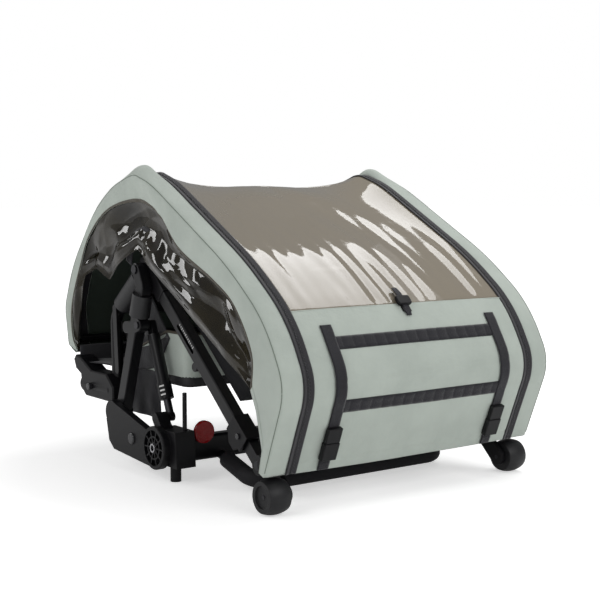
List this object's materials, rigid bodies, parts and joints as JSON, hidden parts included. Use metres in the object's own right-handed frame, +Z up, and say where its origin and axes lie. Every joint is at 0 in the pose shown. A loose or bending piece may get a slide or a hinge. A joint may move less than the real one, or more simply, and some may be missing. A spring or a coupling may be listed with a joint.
{
  "type": "child bicycle trailer",
  "caption": "Folded child bicycle trailer with a fabric canopy on raised hoops, sprung axle arms, tow sockets and parking rollers; wheels are taken off.",
  "frame": {"origin": "on the ground under the middle of the folded trailer's bounding box", "axes": "+Y forward to the tow brackets, +Z up, +X to the trailer's right"},
  "size_m": [0.698, 0.8939, 0.6346],
  "materials": {
    "frame_paint": "satin black powder coat",
    "moulded": "fine-grained black nylon",
    "button": "smooth black",
    "roller_plastic": "soft black tread",
    "foam": "matt closed-cell foam sleeve",
    "steel": "zinc-plated and ground",
    "reflector_red": "moulded prismatic lens",
    "sage_fabric": "fine coated polyester, sage green",
    "seat_fabric": "padded dark lining",
    "webbing": "black polyester webbing",
    "zip_metal": "black coated slider",
    "tinted_window": "tinted clear film"
  },
  "bodies": {
    "chassis": {"rail_left": "frame_paint", "rail_right": "frame_paint", "rail_sockets": "moulded", "foot_tubes": "moulded", "roller_brackets": "moulded", "leg_left": "frame_paint", "leg_right": "frame_paint", "leg_sleeves": "foam", "shoulder_joints": "moulded", "front_arms": "frame_paint", "front_sleeves": "foam", "tow_bracket_left": "moulded", "tow_bracket_right": "moulded", "cross_tubes": "frame_paint", "front_cross_sleeve": "foam", "floor_tub": "sage_fabric", "seat_back": "seat_fabric", "seat_base": "seat_fabric", "harness_straps": "webbing", "frame_bolts": "steel"},
    "canopy": {"hoop_left": "frame_paint", "hoop_right": "frame_paint", "canopy_cross_tubes": "frame_paint", "side_cover_left": "sage_fabric", "side_cover_right": "sage_fabric", "zip_tapes": "webbing", "rear_panel": "sage_fabric", "top_window": "tinted_window", "front_panel": "sage_fabric", "side_window_left": "tinted_window", "side_window_right": "tinted_window", "panel_webbing": "webbing", "buckle_bodies": "moulded", "window_toggle": "moulded", "zip_sliders": "zip_metal"},
    "axle_beam": {"axle_housing_left": "moulded", "axle_housing_right": "moulded", "hub_plates": "moulded", "axle_bushes": "steel", "axle_crossbar": "frame_paint", "reflectors": "reflector_red", "bumper_bar": "frame_paint", "bumper_sleeve": "foam"},
    "brake_pedal": {"brake_pedal": "moulded"},
    "strut_tube_left": {"strut_tube_left": "frame_paint"},
    "strut_rod_left": {"strut_rod_left": "steel"},
    "roller_left": {"roller_left": "roller_plastic"},
    "foot_button_left": {"foot_button_left": "button"},
    "release_button_left": {"release_button_left": "button"},
    "tow_pin_left": {"tow_pin_left": "button"},
    "buckle_clip_left": {"buckle_clip_left": "moulded"},
    "zip_pull_left": {"zip_pull_left": "zip_metal"},
    "strut_tube_right": {"strut_tube_right": "frame_paint"},
    "strut_rod_right": {"strut_rod_right": "steel"},
    "roller_right": {"roller_right": "roller_plastic"},
    "foot_button_right": {"foot_button_right": "button"},
    "release_button_right": {"release_button_right": "button"},
    "tow_pin_right": {"tow_pin_right": "button"},
    "buckle_clip_right": {"buckle_clip_right": "moulded"},
    "zip_pull_right": {"zip_pull_right": "zip_metal"}
  },
  "joints": [
    {"name": "canopy_raise", "type": "hinge", "parent": "chassis", "child": "canopy", "pos_m": [0, -0.3765, 0.092], "axis": [1, 0, 0], "range_deg": [0, 25]},
    {"name": "suspension", "type": "hinge", "parent": "chassis", "child": "axle_beam", "pos_m": [0, 0.1615, 0.115], "axis": [1, 0, 0], "range_deg": [-7, 0], "stiffness_Nm_per_rad": 300, "springref_deg": 9.74},
    {"name": "brake_pedal_press", "type": "hinge", "parent": "axle_beam", "child": "brake_pedal", "pos_m": [0.15, -0.0565, 0.098], "axis": [1, 0, 0], "range_deg": [0, 15]},
    {"name": "strut_swing_left", "type": "hinge", "parent": "chassis", "child": "strut_tube_left", "pos_m": [-0.292, 0.0775, 0.306], "axis": [1, 0, 0], "range_deg": [-1.75, 0]},
    {"name": "strut_slide_left", "type": "slide", "parent": "strut_tube_left", "child": "strut_rod_left", "axis": [0, 0.381, 0.9246], "range_m": [0, 0.019]},
    {"name": "roller_spin_left", "type": "hinge", "parent": "chassis", "child": "roller_left", "pos_m": [-0.3, -0.3685, 0.0335], "axis": [1, 0, 0], "continuous": true},
    {"name": "foot_button_press_left", "type": "slide", "parent": "chassis", "child": "foot_button_left", "axis": [1, 0, 0], "range_m": [0, 0.003], "stiffness_N_per_m": 900, "springref_m": -0.002},
    {"name": "release_button_press_left", "type": "slide", "parent": "axle_beam", "child": "release_button_left", "axis": [1, 0, 0], "range_m": [0, 0.004], "stiffness_N_per_m": 1200, "springref_m": -0.002},
    {"name": "tow_pin_pull_left", "type": "slide", "parent": "chassis", "child": "tow_pin_left", "axis": [-1, 0, 0], "range_m": [0, 0.008], "stiffness_N_per_m": 1000, "springref_m": -0.003},
    {"name": "buckle_clip_draw_left", "type": "slide", "parent": "canopy", "child": "buckle_clip_left", "axis": [0, -0.3685, 0.9296], "range_m": [0, 0.03]},
    {"name": "zip_pull_swing_left", "type": "hinge", "parent": "canopy", "child": "zip_pull_left", "pos_m": [-0.274, 0.4445, 0.316], "axis": [1, 0, 0], "range_deg": [0, 110]},
    {"name": "strut_swing_right", "type": "hinge", "parent": "chassis", "child": "strut_tube_right", "pos_m": [0.292, 0.0775, 0.306], "axis": [1, 0, 0], "range_deg": [-1.75, 0]},
    {"name": "strut_slide_right", "type": "slide", "parent": "strut_tube_right", "child": "strut_rod_right", "axis": [0, 0.381, 0.9246], "range_m": [0, 0.019]},
    {"name": "roller_spin_right", "type": "hinge", "parent": "chassis", "child": "roller_right", "pos_m": [0.3, -0.3685, 0.0335], "axis": [1, 0, 0], "continuous": true},
    {"name": "foot_button_press_right", "type": "slide", "parent": "chassis", "child": "foot_button_right", "axis": [-1, 0, 0], "range_m": [0, 0.003], "stiffness_N_per_m": 900, "springref_m": -0.002},
    {"name": "release_button_press_right", "type": "slide", "parent": "axle_beam", "child": "release_button_right", "axis": [-1, 0, 0], "range_m": [0, 0.004], "stiffness_N_per_m": 1200, "springref_m": -0.002},
    {"name": "tow_pin_pull_right", "type": "slide", "parent": "chassis", "child": "tow_pin_right", "axis": [1, 0, 0], "range_m": [0, 0.008], "stiffness_N_per_m": 1000, "springref_m": -0.003},
    {"name": "buckle_clip_draw_right", "type": "slide", "parent": "canopy", "child": "buckle_clip_right", "axis": [0, -0.3685, 0.9296], "range_m": [0, 0.03]},
    {"name": "zip_pull_swing_right", "type": "hinge", "parent": "canopy", "child": "zip_pull_right", "pos_m": [0.274, 0.4445, 0.316], "axis": [1, 0, 0], "range_deg": [0, 110]}
  ],
  "couplings": [
    {"joint": "strut_swing_left", "follows": "suspension", "ratio": 0.24},
    {"joint": "strut_slide_left", "follows": "suspension", "m_per_rad": -0.152},
    {"joint": "strut_swing_right", "follows": "suspension", "ratio": 0.24},
    {"joint": "strut_slide_right", "follows": "suspension", "m_per_rad": -0.152}
  ]
}
